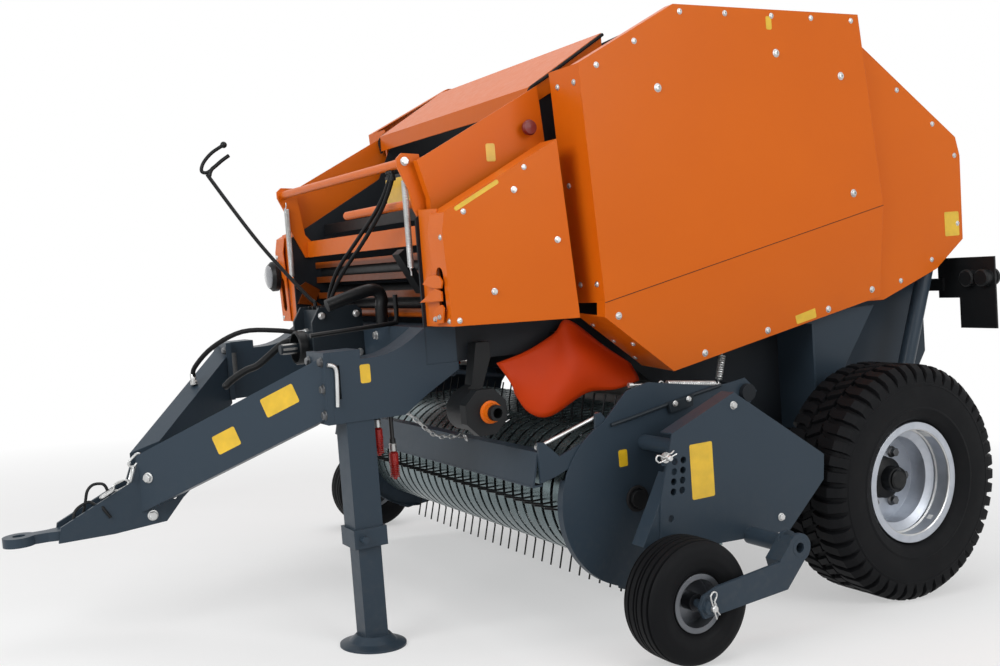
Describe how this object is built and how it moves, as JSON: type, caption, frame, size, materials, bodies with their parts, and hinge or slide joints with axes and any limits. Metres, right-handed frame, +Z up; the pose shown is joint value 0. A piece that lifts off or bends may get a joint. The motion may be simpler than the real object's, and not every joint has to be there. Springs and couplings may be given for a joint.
{
  "type": "towed round baler with pickup",
  "caption": "Towed round baler: V drawbar on a jack, tined pickup with gauge wheels, roller bale chamber, side shields and a tailgate that swings up on two cylinders.",
  "frame": {"origin": "on the ground, at the middle of the overall length and width", "axes": "+X forward along the drawbar, +Y to the left of travel, +Z up"},
  "size_m": [3.5255, 2.642, 2.1245],
  "materials": {
    "orange": "bright orange gloss paint",
    "anthracite": "anthracite grey satin paint",
    "black": "black satin paint",
    "steel": "bare rolled steel",
    "zinc": "bright zinc plate",
    "rim_silver": "silver wheel paint",
    "tyre": "black rubber",
    "hose": "black hose rubber",
    "apron": "orange flexible sheet",
    "red": "red grips"
  },
  "bodies": {
    "root": {"axle_beam": "anthracite", "left_chamber_wall": "anthracite", "right_chamber_wall": "anthracite", "chamber_rollers": "steel", "left_main_shield": "orange", "right_main_shield": "orange", "left_lower_cover": "orange", "right_lower_cover": "orange", "left_cheek": "orange", "right_cheek": "orange", "hood": "orange", "net_frame": "orange", "net_springs": "zinc", "net_rollers": "black", "cross_beam": "anthracite", "left_gooseneck": "anthracite", "right_gooseneck": "anthracite", "drawbar": "anthracite", "hitch_eye": "anthracite", "jack_tube": "anthracite", "gearbox": "black", "hose_rod": "black", "chain_case": "black", "front_lamp": "black", "left_apron": "apron", "right_apron": "apron", "drawbar_hose": "hose", "net_hoses": "hose", "couplings": "red", "pickup_chain": "zinc", "pickup_springs": "zinc"},
    "gate": {"left_gate_wall": "anthracite", "right_gate_wall": "anthracite", "gate_rollers": "steel", "left_gate_shield": "orange", "right_gate_shield": "orange", "gate_crossbars": "anthracite", "left_lamp": "black", "right_lamp": "black"},
    "left_ram_barrel": {"left_ram_barrel": "black"},
    "left_ram_rod": {"left_ram_rod": "zinc"},
    "right_ram_barrel": {"right_ram_barrel": "black"},
    "right_ram_rod": {"right_ram_rod": "zinc"},
    "pickup": {"left_pickup_side": "anthracite", "right_pickup_side": "anthracite", "left_wheel_plate": "anthracite", "right_wheel_plate": "anthracite", "strippers": "anthracite", "windguard": "anthracite", "pickup_rods": "zinc"},
    "reel": {"pickup_reel": "black"},
    "left_wheel": {"left_tyre": "tyre", "left_rim": "rim_silver"},
    "right_wheel": {"right_tyre": "tyre", "right_rim": "rim_silver"},
    "left_gauge_wheel": {"left_gauge_tyre": "tyre", "left_gauge_rim": "rim_silver"},
    "right_gauge_wheel": {"right_gauge_tyre": "tyre", "right_gauge_rim": "rim_silver"},
    "jack_leg": {"jack_leg": "anthracite"}
  },
  "joints": [
    {"name": "gate_lift", "type": "hinge", "parent": "root", "child": "gate", "pos_m": [-1.04293, 0, 1.99869], "axis": [0, 1, 0], "range_deg": [0, 60]},
    {"name": "left_ram_pivot", "type": "hinge", "parent": "root", "child": "left_ram_barrel", "pos_m": [-1.37749, 0.742, 0.4741], "axis": [0, 1, 0], "range_deg": [0, 1.94]},
    {"name": "left_ram_slide", "type": "slide", "parent": "left_ram_barrel", "child": "left_ram_rod", "axis": [-0.2804, 0, 0.9599], "range_m": [0, 0.8303]},
    {"name": "right_ram_pivot", "type": "hinge", "parent": "root", "child": "right_ram_barrel", "pos_m": [-1.37749, -0.742, 0.4741], "axis": [0, 1, 0], "range_deg": [0, 1.94]},
    {"name": "right_ram_slide", "type": "slide", "parent": "right_ram_barrel", "child": "right_ram_rod", "axis": [-0.2804, 0, 0.9599], "range_m": [0, 0.8303]},
    {"name": "pickup_lift", "type": "hinge", "parent": "root", "child": "pickup", "pos_m": [-0.53243, 0, 0.75797], "axis": [0, -1, 0], "range_deg": [0, 12], "deforming": ["pickup_chain", "pickup_springs", "left_apron", "right_apron"]},
    {"name": "reel_spin", "type": "hinge", "parent": "pickup", "child": "reel", "pos_m": [-0.06498, 0, 0.43286], "axis": [0, 1, 0], "continuous": true},
    {"name": "left_wheel_spin", "type": "hinge", "parent": "root", "child": "left_wheel", "pos_m": [-1.11857, 0.974, 0.4225], "axis": [0, 1, 0], "continuous": true},
    {"name": "left_gauge_spin", "type": "hinge", "parent": "pickup", "child": "left_gauge_wheel", "pos_m": [0.00427, 1.205, 0.188], "axis": [0, 1, 0], "continuous": true},
    {"name": "right_wheel_spin", "type": "hinge", "parent": "root", "child": "right_wheel", "pos_m": [-1.11857, -0.974, 0.4225], "axis": [0, 1, 0], "continuous": true},
    {"name": "right_gauge_spin", "type": "hinge", "parent": "pickup", "child": "right_gauge_wheel", "pos_m": [0.00427, -1.205, 0.188], "axis": [0, 1, 0], "continuous": true},
    {"name": "jack_slide", "type": "slide", "parent": "root", "child": "jack_leg", "axis": [0.0732, 0, 0.9973], "range_m": [0, 0.24]}
  ],
  "couplings": [
    {"joint": "left_ram_pivot", "follows": "gate_lift", "ratio": 0.032099},
    {"joint": "left_ram_slide", "follows": "gate_lift", "m_per_rad": 0.79238},
    {"joint": "right_ram_pivot", "follows": "gate_lift", "ratio": 0.032099},
    {"joint": "right_ram_slide", "follows": "gate_lift", "m_per_rad": 0.79238}
  ]
}
